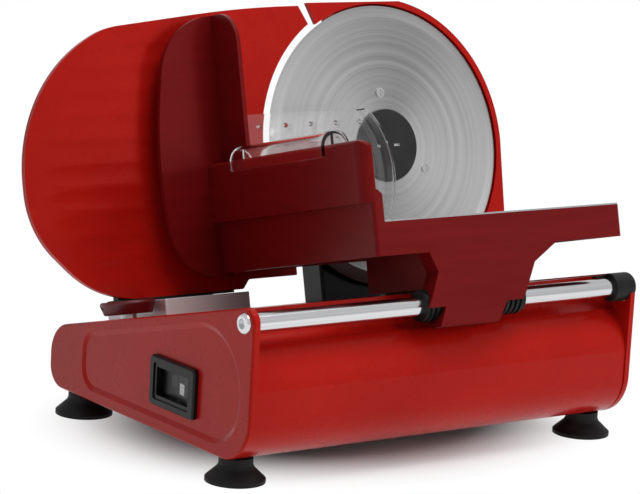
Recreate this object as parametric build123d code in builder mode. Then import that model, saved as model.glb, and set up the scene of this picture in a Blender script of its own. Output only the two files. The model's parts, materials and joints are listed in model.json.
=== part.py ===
from build123d import *
from math import atan2, cos, degrees, pi, radians, sin, sqrt
import os

os.makedirs("parts", exist_ok=True)

# Domestic electric food slicer. Millimetres, +Z up, +Y towards the back, +X to the right.
# The origin lies on the table, under the middle of the whole slicer.
# The deck, blade, fence and carriage stand on a plane that falls towards the back.
# Places on that plane are given from the axis of the slide rod:
# x to the right, run back along the deck, rise square to the deck.

# ---- Driving dimensions ----
running = 0.05          # radial clearance of a shaft or a rod in its bush
sliding = 0.3           # gap between faces that slide past each other
seam = 0.2              # gap between neighbouring housings

base_length = 295.0
base_depth = 226.7
base_front = -127.8
base_floor = 15.0
rod_height = 100.4
deck_tilt = 14.5
deck_rise = 8.2         # deck surface above the rod's axis
ear_radius = 9.0        # rounded front corner of a side panel, round the rod
panel_thickness = 4.5
shell_wall = 2.2
skin_inset = 1.0        # the wrap lies this far inside the panels' edges
front_corner = 28.0
rear_low_corner = 14.0
rear_top_corner = 22.0
trough_radius = 16.5    # hollow in the wrap round the rod
trough_end_angle = -69.5
bulge_bend_drop = 24.6  # the wrap's front bends out below the rod's axis
bulge_top_drop = 40.4

foot_side_inset = 12.3
foot_front_inset = 29.25
foot_rear_inset = 24.35
foot_radius = 18.3
foot_neck_radius = 10.4

rod_radius = 6.0
rod_button_radius = 6.3
cap_radius = 9.0
cap_length = 16.0

switch_inset = 80.8     # switch's centre behind the front edge
switch_z = 46.4
bezel_length = 49.0
bezel_height = 31.0
bezel_border = 7.0
rocker_length = 34.0
rocker_height = 17.0
rocker_tip = 9.0

blade_radius = 95.0
blade_inset = 58.1      # blade's axis inside the right end of the base
blade_rise = 108.5
blade_setback = 63.7
blade_thickness = 2.5
bevel_width = 8.1
bevel_depth = 2.0
knob_radius = 24.7
knob_proud = 2.2
rivet_circle = 36.0
rivet_radius = 3.4
hub_radius = 44.0
hub_thickness = 3.0
shaft_radius = 5.0

fence_gap = 4.4         # see-through gap between blade and fence
fence_thickness = 4.0
fence_bottom = 20.8
fence_travel = 13.0
flute_radius = 60.0
flute_depth = 0.35
flute_fade = 28.0       # each flute runs out over this length at both ends
flute_pitch = 15.2

block_inset = 40.7      # block's left face inside the left end of the base
block_width = 64.3
block_lead = 15.5       # block's front before the blade
block_length = 72.0
block_top = 19.0
groove_width = 24.0
groove_depth = 7.0
dial_radius = 18.3
dial_low_radius = 15.2
dial_bottom = 11.5
dial_height = 8.5
spiral_start = 3.0
spiral_turn = 300.0
pin_radius = 1.5

guard_clear = 5.4       # the guard's rim lies this far outside the blade
guard_left_lap = 17.0   # its left side stays this far inside the blade's edge
guard_edge = 27.4       # left edge of the guard's pan, from the blade's axis
guard_top_clear = 2.8
guard_bottom = 45.0
guard_depth = 22.0
guard_wall = 2.5
recess_depth = 6.5
tower_reach = 57.8      # tower's left face, from the blade's axis
tower_overhang = 2.5
tower_lag = 8.0
tower_depth = 21.0
tower_wall = 3.0
cover_depth = 26.5
cover_radius = 55.0
cover_wall = 2.5
cover_reach = 11.4
cover_top = 138.0

wheel_teeth = 60
gear_module = 1.25
wheel_width = 7.0
wheel_lag = 37.5
shaft_tail = 11.0
worm_radius = 6.0
worm_length = 22.0
motor_radius = 13.0
motor_length = 42.0
motor_bottom = 26.0

lip_front = -12.1
lip_bottom = 31.9
tray_top = 52.2
tray_reach = 47.2       # right end of the tray, from the blade's axis
tray_length = 193.7
tray_gap = 3.0          # between the tray and the blade
wall_thickness = 7.5
band_proud = 5.6        # the upper band stands out from the wall
band_thickness = 9.5
band_bottom = 64.2
band_top = 102.0
band_corner = 8.0
step_rise = 69.0
step_height = 3.0
skin = 3.0              # moulded wall of the carriage
plate_thickness = 1.0
shield_lead = 10.8      # hand guard's front face before the blade
shield_thickness = 3.5
shield_width = 51.4
shield_bottom = 29.5
shield_top = 197.5
fin_depth = 26.3
bush_radius = 10.2
collar_radius = 9.4
left_bush_overhang = 2.8
left_bush_length = 22.0
bush_span = 77.1
right_bush_length = 16.0

arch_radius = 10.2
arch_wall = 1.8
saddle_front = 20.4
saddle_length = 100.0
pusher_width = 126.4
pusher_top = 132.5
pusher_thickness = 3.0
pusher_rim_depth = 9.0
pusher_rim_wall = 2.4

# ---- Places that follow from the sizes ----
half_length = base_length / 2
inner_half = half_length - panel_thickness
base_rear = base_front + base_depth
rod_y = base_front + ear_radius
switch_y = base_front + switch_inset
blade_x = half_length - blade_inset
blade_run = base_depth - blade_setback        # front face of the blade
blade_top = blade_rise + blade_radius
guard_radius = blade_radius + guard_clear
guard_left_radius = blade_radius - guard_left_lap
guard_top = blade_top + guard_top_clear
block_left = block_inset - half_length
block_right = block_left + block_width
block_front = blade_run - block_lead
block_back = block_front + block_length
dial_x = block_left - sliding - dial_radius
dial_run = blade_run
tower_left = blade_x - tower_reach
tower_right = half_length + tower_overhang
tower_front = blade_run + tower_lag
cover_left = blade_x - cover_reach
wheel_run = blade_run + wheel_lag
tray_right = blade_x + tray_reach
tray_back = blade_run - tray_gap
wall_left = tray_right - tray_length
wall_right = wall_left + wall_thickness
band_left = wall_left - band_proud
band_right = band_left + band_thickness
shield_run = blade_run - shield_lead
shield_left = wall_right - shield_width

# ---- Frame of the tilted deck ----
tilt_sin = sin(radians(deck_tilt))
tilt_cos = cos(radians(deck_tilt))
rod_axis_point = (0, rod_y, rod_height)
deck_frame = Plane(origin=rod_axis_point, x_dir=(1, 0, 0), z_dir=(0, tilt_sin, tilt_cos))
front_frame = Plane(origin=rod_axis_point, x_dir=(1, 0, 0), z_dir=(0, -tilt_cos, tilt_sin))
deck_normal = Axis(rod_axis_point, deck_frame.z_dir)
side_frame = Plane(origin=rod_axis_point, x_dir=(0, tilt_cos, -tilt_sin), z_dir=(1, 0, 0))


def level(rise):
    """Plane parallel to the deck; its sketches hold (x, run)."""
    return deck_frame.offset(rise)


def upright(run):
    """Plane parallel to the blade, facing the front; its sketches hold (x, rise)."""
    return front_frame.offset(-run)


def slice_plane(x):
    """Plane square to the rod; its sketches hold (run, rise)."""
    return side_frame.offset(x)


def block(x_range, run_range, rise_range, mode=Mode.ADD):
    """A box on the tilted deck, between two values on each axis."""
    (x0, x1), (r0, r1), (h0, h1) = x_range, run_range, rise_range
    with BuildSketch(level(h0)) as flat:
        with Locations(((x0 + x1) / 2, (r0 + r1) / 2)):
            Rectangle(x1 - x0, r1 - r0)
    extrude(flat.sketch, amount=h1 - h0, mode=mode)


def drum(x, rise, radius, run_range, mode=Mode.ADD):
    """A cylinder whose axis is square to the blade."""
    with BuildSketch(upright(run_range[1])) as flat:
        with Locations((x, rise)):
            Circle(radius)
    extrude(flat.sketch, amount=run_range[1] - run_range[0], mode=mode)


def roller(run, rise, radius, x_range, mode=Mode.ADD):
    """A cylinder whose axis is parallel to the rod."""
    with BuildSketch(slice_plane(x_range[0])) as flat:
        with Locations((run, rise)):
            Circle(radius)
    extrude(flat.sketch, amount=x_range[1] - x_range[0], mode=mode)


def post(x, run, radius, rise_range, mode=Mode.ADD):
    """A cylinder whose axis is square to the deck."""
    with BuildSketch(level(rise_range[0])) as flat:
        with Locations((x, run)):
            Circle(radius)
    extrude(flat.sketch, amount=rise_range[1] - rise_range[0], mode=mode)


def rod_polar(radius, angle):
    """Ground (y, z) of a point at a radius and an angle from the rod's axis."""
    return (rod_y + radius * cos(radians(angle)), rod_height + radius * sin(radians(angle)))


def deck_height_at(y, rise):
    """Ground height of a plane parallel to the deck, above the place y."""
    crown_y, crown_z = rod_polar(rise, 90 - deck_tilt)
    return crown_z - (y - crown_y) * tilt_sin / tilt_cos


def save(part, label):
    """Label a finished piece and write its STEP file."""
    part.label = label
    export_step(part, "parts/" + label + ".step")


# ---- Base ----
def panel_outline(plane):
    """Side view of the base: flat floor, rounded corners and the ear round the rod."""
    with BuildSketch(plane) as flat:
        with BuildLine():
            FilletPolyline(
                (base_front, rod_height),
                (base_front, base_floor),
                (base_rear, base_floor),
                (base_rear, deck_height_at(base_rear, ear_radius)),
                rod_polar(ear_radius, 90 - deck_tilt),
                radius=[front_corner, rear_low_corner, rear_top_corner],
            )
            ThreePointArc(
                rod_polar(ear_radius, 90 - deck_tilt),
                rod_polar(ear_radius, 135 - deck_tilt / 2),
                (base_front, rod_height),
            )
        make_face()
    return flat.sketch


def wrap_outline():
    """Side view of the wrap: as the panels, a little inside, with the trough round the rod."""
    front = base_front + skin_inset
    rear = base_rear - skin_inset
    trough_start = degrees(atan2(deck_rise, sqrt(trough_radius**2 - deck_rise**2))) - deck_tilt
    trough_middle = (trough_start + trough_end_angle) / 2
    bend = (rod_y - skin_inset - 1.5, rod_height - bulge_bend_drop)
    bulge_top_height = rod_height - bulge_top_drop
    with BuildLine() as outline:
        FilletPolyline(
            (front, bulge_top_height),
            (front, base_floor),
            (rear, base_floor),
            (rear, deck_height_at(rear, deck_rise)),
            rod_polar(trough_radius, trough_start),
            radius=[front_corner - skin_inset, rear_low_corner, rear_top_corner - skin_inset],
        )
        ThreePointArc(
            rod_polar(trough_radius, trough_start),
            rod_polar(trough_radius, trough_middle),
            rod_polar(trough_radius, trough_end_angle),
        )
        ThreePointArc(
            rod_polar(trough_radius, trough_end_angle), bend, (front, bulge_top_height)
        )
    make_face(outline.edges())


floor_margin_x = 27.5
floor_margin_front = 50.8
floor_margin_rear = 45.9
floor_hole_x = base_length - 2 * floor_margin_x
floor_hole_y = base_depth - floor_margin_front - floor_margin_rear
floor_y = base_front + floor_margin_front + floor_hole_y / 2
floor_lap = 6.0
gland_x = half_length - 52.5
gland_z = 34.0
gland_relief = 4.0
gland_radius = 7.0
block_screw_radius = 2.0
block_screw_front = 14.0
block_screw_back = 21.5
block_screw_runs = (block_front + block_screw_front, block_back - block_screw_back)
block_screw_xs = (block_left + block_screw_front, block_right - block_screw_front)

foot_screw_radius = 1.9
foot_screw_head = 3.6
foot_points = [
    (foot_inset_sign * (half_length - foot_side_inset), foot_y)
    for foot_inset_sign in (-1, 1)
    for foot_y in (base_front + foot_front_inset, base_rear - foot_rear_inset)
]

with BuildPart() as base_wrap:
    with BuildSketch(Plane.YZ.offset(-inner_half)):
        wrap_outline()
        offset(amount=-shell_wall, mode=Mode.SUBTRACT)
    extrude(amount=2 * inner_half)
    with BuildSketch(Plane.XY.offset(base_floor)):
        with Locations((0, floor_y)):
            Rectangle(floor_hole_x, floor_hole_y)
        with Locations(*foot_points):
            Circle(foot_screw_radius + running)
    extrude(amount=shell_wall, mode=Mode.SUBTRACT)
    with BuildSketch(Plane.XZ.offset(-base_rear)):
        with Locations((gland_x, gland_z)):
            Circle(gland_radius)
    extrude(amount=skin_inset + shell_wall + gland_relief, mode=Mode.SUBTRACT)
    post(dial_x, dial_run, pin_radius + 1.5, (deck_rise - shell_wall - 1, deck_rise + 1), Mode.SUBTRACT)
    for screw_x in block_screw_xs:
        for screw_run in block_screw_runs:
            post(screw_x, screw_run, block_screw_radius + sliding,
                 (deck_rise - shell_wall - 1, deck_rise + 1), Mode.SUBTRACT)
save(base_wrap.part, "base_wrap")

inset_front = 10.4
inset_rear = 39.5
inset_drop = 6.0
inset_floor = 7.0
inset_depth = 1.2
inset_slope = 3.2       # width of the sloped border of the pressed field
tie_radius = 3.0
tie_boss_radius = 6.5
tie_boss_length = 9.0
tie_front = 23.8
tie_middle = 107.8
tie_rear = 26.9
tie_places = [
    (base_front + tie_front, base_floor + 23),
    (base_front + tie_middle, base_floor + 11),
    (base_rear - tie_rear, base_floor + 17),
]


def inset_outline(plane, inward=0.0):
    """Rounded field pressed into the outer face of a side panel."""
    front = base_front + inset_front + inward
    rear = base_rear - inset_rear - inward
    low = base_floor + inset_floor + inward
    top = ear_radius - inset_drop - inward
    with BuildSketch(plane) as flat:
        with BuildLine():
            FilletPolyline(
                (front, low),
                (rear, low),
                (rear, deck_height_at(rear, top)),
                (front, deck_height_at(front, top)),
                radius=[29 - inward, 14 - inward, 15 - inward, 37 - inward],
                close=True,
            )
        make_face()
    return flat.sketch


def side_panel(side):
    """Panel plate with its pressed field and the bosses of the tie rods; side is -1 or 1."""
    outer = side * half_length
    inner = side * inner_half
    extrude(panel_outline(Plane.YZ.offset(inner)), amount=side * panel_thickness)
    rim = faces().filter_by(Axis.X).sort_by(Axis.X)[-1 if side > 0 else 0].edges()
    fillet(rim, 1.6)
    field_mouth = inset_outline(Plane.YZ.offset(outer + side * 0.01))
    field_floor = inset_outline(Plane.YZ.offset(outer - side * inset_depth), inset_slope)
    loft([field_mouth.face(), field_floor.face()], ruled=True, mode=Mode.SUBTRACT)
    with BuildSketch(Plane.YZ.offset(inner)) as bosses:
        with Locations(*tie_places):
            Circle(tie_boss_radius)
    extrude(bosses.sketch, amount=-side * tie_boss_length)
    with BuildSketch(Plane.YZ.offset(inner)) as bores:
        with Locations(*tie_places):
            Circle(tie_radius + running)
    extrude(bores.sketch, amount=-side * (tie_boss_length + 1), mode=Mode.SUBTRACT)


with BuildPart() as left_panel:
    side_panel(-1)
    roller(0, 0, rod_radius + running, (-half_length - 1, -inner_half + 1), Mode.SUBTRACT)
    with BuildSketch(Plane.YZ.offset(-half_length - 1)):
        with Locations((switch_y, switch_z)):
            RectangleRounded(bezel_length - bezel_border, bezel_height - bezel_border, 2)
    extrude(amount=panel_thickness + 2, mode=Mode.SUBTRACT)
save(left_panel.part, "left_panel")

with BuildPart() as right_panel:
    side_panel(1)
    roller(0, 0, cap_radius + sliding, (inner_half - 1, half_length + 1), Mode.SUBTRACT)
save(right_panel.part, "right_panel")

with BuildPart() as tie_rods:
    with BuildSketch(Plane.YZ.offset(-inner_half + seam)):
        with Locations(*tie_places):
            Circle(tie_radius)
    extrude(amount=2 * (inner_half - seam))
save(tie_rods.part, "tie_rods")

plate_gauge = 1.5
floor_top = base_floor + shell_wall
vent_width = 3.0
vent_length = 26.0
vent_pitch = 8.0
vent_inset = 65.0
with BuildPart() as bottom_plate:
    with BuildSketch(Plane.XY.offset(floor_top)):
        with Locations((0, floor_y)):
            RectangleRounded(floor_hole_x + 2 * floor_lap, floor_hole_y + 2 * floor_lap, 4)
        with Locations((floor_hole_x / 2 - vent_inset, floor_y), (vent_inset - floor_hole_x / 2, floor_y)):
            with GridLocations(vent_pitch, 0, 8, 1):
                SlotOverall(vent_length, vent_width, rotation=90, mode=Mode.SUBTRACT)
    extrude(amount=plate_gauge)
save(bottom_plate.part, "bottom_plate")

with BuildPart() as floor_screws:
    with BuildSketch(Plane.XY.offset(floor_top + plate_gauge)):
        with Locations((0, floor_y)):
            with GridLocations(floor_hole_x + floor_lap, floor_hole_y + floor_lap, 2, 2):
                Circle(2.8)
    extrude(amount=1.6)
save(floor_screws.part, "floor_screws")

foot_lip = 2.2
foot_recess = 4.0

# rubber cup with a neck; its profile is turned about the foot's axis
with BuildPart() as foot_shape:
    with BuildSketch(Plane.XZ):
        with BuildLine():
            Polyline(
                (foot_screw_head + seam, 6.0),
                (foot_neck_radius - 2, 2.6),
                (foot_radius - 3, 0),
                (foot_radius, 0),
                (foot_radius, foot_lip),
                (foot_neck_radius + 1.0, 8.6),
                (foot_neck_radius, 10.6),
                (foot_neck_radius, base_floor),
                (foot_screw_radius + running, base_floor),
                (foot_screw_radius + running, base_floor - foot_recess),
                (foot_screw_head + seam, base_floor - foot_recess),
                close=True,
            )
        make_face()
    revolve(axis=Axis.Z)

foot_names = ["foot_front_left", "foot_rear_left", "foot_front_right", "foot_rear_right"]
for foot_name, (foot_x, foot_y) in zip(foot_names, foot_points):
    save(foot_shape.part.moved(Location((foot_x, foot_y, 0))), foot_name)

with BuildPart() as foot_screws:
    with BuildSketch(Plane.XY.offset(base_floor - foot_recess - 2.4)):
        with Locations(*foot_points):
            Circle(foot_screw_head)
    extrude(amount=2.4)
    with BuildSketch(Plane.XY.offset(base_floor - foot_recess)):
        with Locations(*foot_points):
            Circle(foot_screw_radius)
    extrude(amount=foot_recess + shell_wall + 3)
save(foot_screws.part, "foot_screws")

# ---- Slide rod with its ends ----
cap_start = half_length - cap_length
cap_end = half_length + 1.2
cap_bore_depth = 3.5
button_length = 2.6
tongue_length = 8.0
with BuildPart() as slide_rod:
    roller(0, 0, rod_radius, (-half_length, cap_end - cap_bore_depth))
save(slide_rod.part, "slide_rod")

with BuildPart() as rod_button:
    roller(0, 0, rod_button_radius, (-half_length - button_length, -half_length))
    fillet(faces().sort_by(Axis.X)[0].edges(), 2.0)
    roller(0, 0, rod_button_radius / 2, (-half_length - button_length - 1, -half_length - 0.8), Mode.SUBTRACT)
save(rod_button.part, "rod_button")

with BuildPart() as rod_end_cap:
    roller(0, 0, cap_radius, (cap_start, cap_end))
    fillet(faces().filter_by(Axis.X).sort_by(Axis.X)[-1].edges(), 3)
    fillet(faces().filter_by(Axis.X).sort_by(Axis.X)[0].edges(), 1)
    block((cap_start - tongue_length, cap_start + 2), (1.5, 5.5), (rod_radius + 0.4, deck_rise - 0.2))
    roller(0, 0, rod_radius + running, (cap_start - 1, cap_end - cap_bore_depth), Mode.SUBTRACT)
save(rod_end_cap.part, "rod_end_cap")

# ---- Switch ----
bezel_proud = 2.2
bezel_neck_length = bezel_length - bezel_border - 2 * seam
bezel_neck_height = bezel_height - bezel_border - 2 * seam
bezel_depth = 12.0
well_length = rocker_length + 2 * sliding
well_height = rocker_height + 2 * sliding
rocker_pivot_depth = 5.0
bezel_step = 2.6
switch_body_length = 32.0
switch_body_height = 21.0
switch_body_depth = 17.0


def switch_sketch(x, length, height, corner):
    """Rounded rectangle round the switch's centre, square to X."""
    with BuildSketch(Plane.YZ.offset(x)) as flat:
        with Locations((switch_y, switch_z)):
            RectangleRounded(length, height, corner)
    return flat.sketch


bezel_back = -half_length + bezel_depth
with BuildPart() as switch_bezel:
    extrude(switch_sketch(-half_length - bezel_proud, bezel_length, bezel_height, 3),
            amount=bezel_proud + inset_depth)
    chamfer(faces().sort_by(Axis.X)[0].edges(), 1)
    extrude(switch_sketch(-half_length - bezel_proud - 1, well_length + 2 * bezel_step,
                          well_height + 2 * bezel_step, 2), amount=1.9, mode=Mode.SUBTRACT)
    extrude(switch_sketch(-half_length, bezel_neck_length, bezel_neck_height, 1.5), amount=bezel_depth)
    extrude(switch_sketch(-half_length - bezel_proud - 1, well_length, well_height, 1),
            amount=bezel_depth + bezel_proud + 2, mode=Mode.SUBTRACT)
save(switch_bezel.part, "switch_bezel")

rocker_pivot_x = -half_length + rocker_pivot_depth
rocker_crown = 3.4
rocker_pin_radius = 1.6
with BuildPart() as switch_rocker:
    with BuildSketch(Plane.XY.offset(switch_z - rocker_height / 2)):
        with BuildLine():
            reach = rocker_length / 2 - 0.8
            lean = reach * sin(radians(rocker_tip / 2))
            ThreePointArc(
                (rocker_pivot_x - rocker_crown - lean, switch_y - reach),
                (rocker_pivot_x - rocker_crown + 1.6, switch_y),
                (rocker_pivot_x - rocker_crown + lean, switch_y + reach),
            )
            Line((rocker_pivot_x - rocker_crown + lean, switch_y + reach),
                 (rocker_pivot_x + 1.6 + lean, switch_y + reach - 1.2))
            Line((rocker_pivot_x + 1.6 + lean, switch_y + reach - 1.2),
                 (rocker_pivot_x + 3.0, switch_y))
            Line((rocker_pivot_x + 3.0, switch_y),
                 (rocker_pivot_x + 1.6 - lean, switch_y - reach + 1.2))
            Line((rocker_pivot_x + 1.6 - lean, switch_y - reach + 1.2),
                 (rocker_pivot_x - rocker_crown - lean, switch_y - reach))
        make_face()
    extrude(amount=rocker_height)
    with BuildSketch(Plane.XY.offset(switch_z - rocker_height / 2 - 1)):
        with Locations((rocker_pivot_x, switch_y)):
            Circle(rocker_pin_radius)
    extrude(amount=rocker_height + 2, mode=Mode.SUBTRACT)
save(switch_rocker.part, "switch_rocker")

with BuildPart() as rocker_pin:
    with BuildSketch(Plane.XY.offset(switch_z - well_height / 2)):
        with Locations((rocker_pivot_x, switch_y)):
            Circle(rocker_pin_radius - running)
    extrude(amount=well_height)
save(rocker_pin.part, "rocker_pin")

blade_tab_length = 7.0
with BuildPart() as switch_body:
    extrude(switch_sketch(bezel_back, switch_body_length, switch_body_height, 1), amount=switch_body_depth)
    with BuildSketch(Plane.YZ.offset(bezel_back + switch_body_depth)):
        with Locations((switch_y, switch_z)):
            with GridLocations(12, 9, 2, 2):
                Rectangle(0.9, 5)
    extrude(amount=blade_tab_length)
save(switch_body.part, "switch_body")

# ---- Power inlet ----
gland_flange = 10.5
with BuildPart() as cord_gland:
    with BuildSketch(Plane.XZ.offset(-base_rear + skin_inset)):
        with Locations((gland_x, gland_z)):
            Circle(gland_flange)
    extrude(amount=-3)
    fillet(faces().sort_by(Axis.Y)[-1].edges(), 1)
    with BuildSketch(Plane.XZ.offset(-base_rear + skin_inset)):
        with Locations((gland_x, gland_z)):
            Circle(gland_radius - running)
    extrude(amount=14)
    with BuildSketch(Plane.XZ.offset(-base_rear - 10)):
        with Locations((gland_x, gland_z)):
            Circle(3.4)
    extrude(amount=30, mode=Mode.SUBTRACT)
save(cord_gland.part, "cord_gland")

terminal_x = gland_x - 35.0
terminal_y = base_rear - 60.9
terminal_length = 30.0
terminal_width = 17.0
terminal_height = 12.0
with BuildPart() as terminal_block:
    with BuildSketch(Plane.XY.offset(floor_top + plate_gauge)):
        with Locations((terminal_x, terminal_y)):
            Rectangle(terminal_length, terminal_width)
    extrude(amount=terminal_height)
    with BuildSketch(Plane.XY.offset(floor_top + plate_gauge + terminal_height)):
        with Locations((terminal_x, terminal_y)):
            with GridLocations(10, 9, 3, 2):
                Circle(1.8)
    extrude(amount=-6, mode=Mode.SUBTRACT)
save(terminal_block.part, "terminal_block")

# ---- Guide block, dial and fence ----
groove_centre = (block_left + block_right) / 2
groove_floor = block_top - groove_depth
with BuildPart() as guide_block:
    block((block_left, block_right), (block_front, block_back), (deck_rise, block_top))
    fillet(edges().filter_by(deck_normal), 1.5)
    fillet(faces().sort_by(deck_normal)[-1].edges(), 0.6)
    block((groove_centre - groove_width / 2, groove_centre + groove_width / 2),
          (block_front + 8, block_back + 1), (groove_floor, block_top + 1), Mode.SUBTRACT)
    for screw_x in block_screw_xs:
        for screw_run in block_screw_runs:
            post(screw_x, screw_run, block_screw_radius + running, (deck_rise - 1, deck_rise + 7),
                 Mode.SUBTRACT)
save(guide_block.part, "guide_block")

deck_under = deck_rise - shell_wall
with BuildPart() as block_screws:
    for screw_x in block_screw_xs:
        for screw_run in block_screw_runs:
            post(screw_x, screw_run, block_screw_radius, (deck_under - 1, deck_rise + 6))
            post(screw_x, screw_run, 4, (deck_under - 3, deck_under))
save(block_screws.part, "block_screws")

dial_top = dial_bottom + dial_height
stud_radius = 2.6
slot_width = 2 * (pin_radius + sliding)
slot_depth = 4.5
arm_gap = 0.2


def spiral_point(turned):
    """Sketch point (x, run) of the cam's spiral after turning by an angle from the start."""
    reach = spiral_start + fence_travel * turned / spiral_turn
    return (dial_x + reach * sin(radians(turned)), dial_run + reach * cos(radians(turned)))


with BuildPart() as thickness_dial:
    with BuildSketch(slice_plane(dial_x)):
        with BuildLine():
            FilletPolyline(
                (dial_run, dial_bottom),
                (dial_run + dial_low_radius, dial_bottom),
                (dial_run + dial_radius, dial_top),
                (dial_run, dial_top),
                radius=[1.4, 1.8],
            )
            Line((dial_run, dial_top), (dial_run, dial_bottom))
        make_face()
    dial_axis_point = level(0).from_local_coords((dial_x, dial_run, 0))
    revolve(axis=Axis(dial_axis_point, deck_frame.z_dir))
    spiral_steps = 6
    with BuildSketch(level(dial_top - slot_depth)):
        for step in range(spiral_steps):
            first = spiral_turn * step / spiral_steps
            last = spiral_turn * (step + 1) / spiral_steps
            stroke = Edge.make_three_point_arc(
                spiral_point(first), spiral_point((first + last) / 2), spiral_point(last)
            )
            SlotArc(stroke, slot_width)
    extrude(amount=slot_depth + 1, mode=Mode.SUBTRACT)
    post(dial_x, dial_run, stud_radius + running, (dial_bottom - 1, dial_top - slot_depth - 1),
         Mode.SUBTRACT)
save(thickness_dial.part, "thickness_dial")

with BuildPart() as dial_stud:
    post(dial_x, dial_run, stud_radius, (deck_under - 1.5, dial_top - slot_depth - 1.4))
    post(dial_x, dial_run, 5, (deck_under - 3.5, deck_under))
    post(dial_x, dial_run, 5, (deck_rise, dial_bottom - 0.1))
save(dial_stud.part, "dial_stud")

edge_plane = blade_run + blade_thickness      # the cutting edge lies here
fence_front = edge_plane
fence_back = fence_front + fence_thickness
slider_bottom = block_top + sliding
slider_length = block_back - fence_front - 1.5
slider_lead = 6.0
arm_width = 5.0
rib_width = 3.0
rib_height = 42.0
with BuildPart() as fence_slider:
    tongue = groove_width / 2 - sliding
    block((groove_centre - tongue, groove_centre + tongue),
          (fence_front - slider_lead, fence_front + slider_length - slider_lead),
          (groove_floor + sliding, slider_bottom + 0.5))
    block((block_left, block_right), (fence_front, fence_front + slider_length),
          (slider_bottom, fence_bottom))
    block((dial_x - arm_width / 2, block_left), (fence_front, fence_front + 14),
          (dial_top + arm_gap, fence_bottom))
    block((dial_x - arm_width / 2, block_left), (fence_back + seam, fence_back + 6),
          (fence_bottom - 0.5, fence_bottom + 4))
    post(dial_x, dial_run + spiral_start, pin_radius, (dial_top - slot_depth + 0.4, fence_bottom - 0.2))
    for rib_x in (block_left + 6, groove_centre, block_right - 6):
        with BuildSketch(slice_plane(rib_x - rib_width / 2)):
            with BuildLine():
                Polyline(
                    (fence_back + seam, fence_bottom - 0.5),
                    (fence_front + slider_length - 2, fence_bottom - 0.5),
                    (fence_front + slider_length - 2, fence_bottom + 3),
                    (fence_back + 6, fence_bottom + rib_height),
                    (fence_back + seam, fence_bottom + rib_height),
                    close=True,
                )
            make_face()
        extrude(amount=rib_width)
    block((block_left, block_right), (fence_back + seam, fence_back + rib_width),
          (fence_bottom - 0.5, fence_bottom + rib_height))
save(fence_slider.part, "fence_slider")

fence_screw_rise = fence_bottom + 30
with BuildPart() as fence_screws:
    for screw_x in (block_left + 18, block_right - 18):
        for screw_rise in (fence_screw_rise, fence_screw_rise - 18):
            drum(screw_x, screw_rise, 3.2, (fence_back + rib_width, fence_back + rib_width + 2))
save(fence_screws.part, "fence_screws")

fence_edge_radius = blade_radius + fence_gap
fence_corner = (blade_x - 53.5, blade_top - 11.7)
fence_tip = (blade_x - 60.3, blade_top + 1.1)
fence_foot_x = blade_x + 13.9 - blade_radius
fence_left = block_left - 83.0
fence_notch_x = block_right + 7.5
fence_notch_height = 6.0
fence_foot_rise = blade_rise - sqrt(fence_edge_radius**2 - (blade_x - fence_foot_x) ** 2)


def fence_outline():
    """Front view of the fence: a large rounded left end and a right edge that follows the blade."""
    corner_rise = blade_rise + sqrt(fence_edge_radius**2 - (blade_x - fence_corner[0]) ** 2)
    with BuildLine() as outline:
        FilletPolyline(
            (fence_foot_x, fence_foot_rise),
            (fence_foot_x, fence_bottom + fence_notch_height),
            (fence_notch_x + 5, fence_bottom + fence_notch_height),
            (fence_notch_x, fence_bottom),
            (fence_left + 46.0, fence_bottom),
            (fence_left + 0.7, 67.5),
            (fence_left, 158.0),
            (fence_left + 66.7, 193.0),
            (blade_x - 104.7, blade_top + 0.8),
            fence_tip,
            radius=[1, 2, 2, 70, 60, 100, 55, 800],
        )
        Line(fence_tip, (fence_corner[0], corner_rise))
        ThreePointArc(
            (fence_foot_x, fence_foot_rise),
            (blade_x - fence_edge_radius, blade_rise),
            (fence_corner[0], corner_rise),
        )
    make_face(outline.edges())


flute_count = 10
flute_first = 40.0
flute_end = blade_x - 149.4     # the flutes fade out here
flute_margin = 12.0
flute_round = 88.0      # the left ends of the flutes lie on a circle of this radius
flute_middle = 105.0
with BuildPart() as fence_plate:
    with BuildSketch(upright(fence_back)):
        fence_outline()
    extrude(amount=fence_thickness)
    for flute in range(flute_count):
        flute_rise = flute_first + flute * flute_pitch
        axis_run = fence_front + flute_depth - flute_radius
        flute_reach = sqrt(max(0, flute_round**2 - (flute_rise - flute_middle) ** 2))
        flute_start = fence_left + flute_round - 3 - flute_reach + flute_margin
        end_radius = flute_radius - flute_depth - 0.1
        # a long spindle, turned about an axis in front of the fence, cuts one flute
        with BuildSketch(level(flute_rise)):
            with BuildLine():
                Line((flute_start, axis_run), (flute_start, axis_run + end_radius))
                TangentArc(
                    (flute_start + flute_fade, axis_run + flute_radius),
                    (flute_start, axis_run + end_radius),
                    tangent=(-1, 0),
                )
                Line(
                    (flute_start + flute_fade, axis_run + flute_radius),
                    (flute_end - flute_fade, axis_run + flute_radius),
                )
                TangentArc(
                    (flute_end - flute_fade, axis_run + flute_radius),
                    (flute_end, axis_run + end_radius),
                    tangent=(1, 0),
                )
                Line((flute_end, axis_run + end_radius), (flute_end, axis_run))
                Line((flute_end, axis_run), (flute_start, axis_run))
            make_face()
        flute_axis_point = level(flute_rise).from_local_coords((0, axis_run, 0))
        revolve(axis=Axis(flute_axis_point, (1, 0, 0)), mode=Mode.SUBTRACT)
save(fence_plate.part, "fence_plate")

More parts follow.
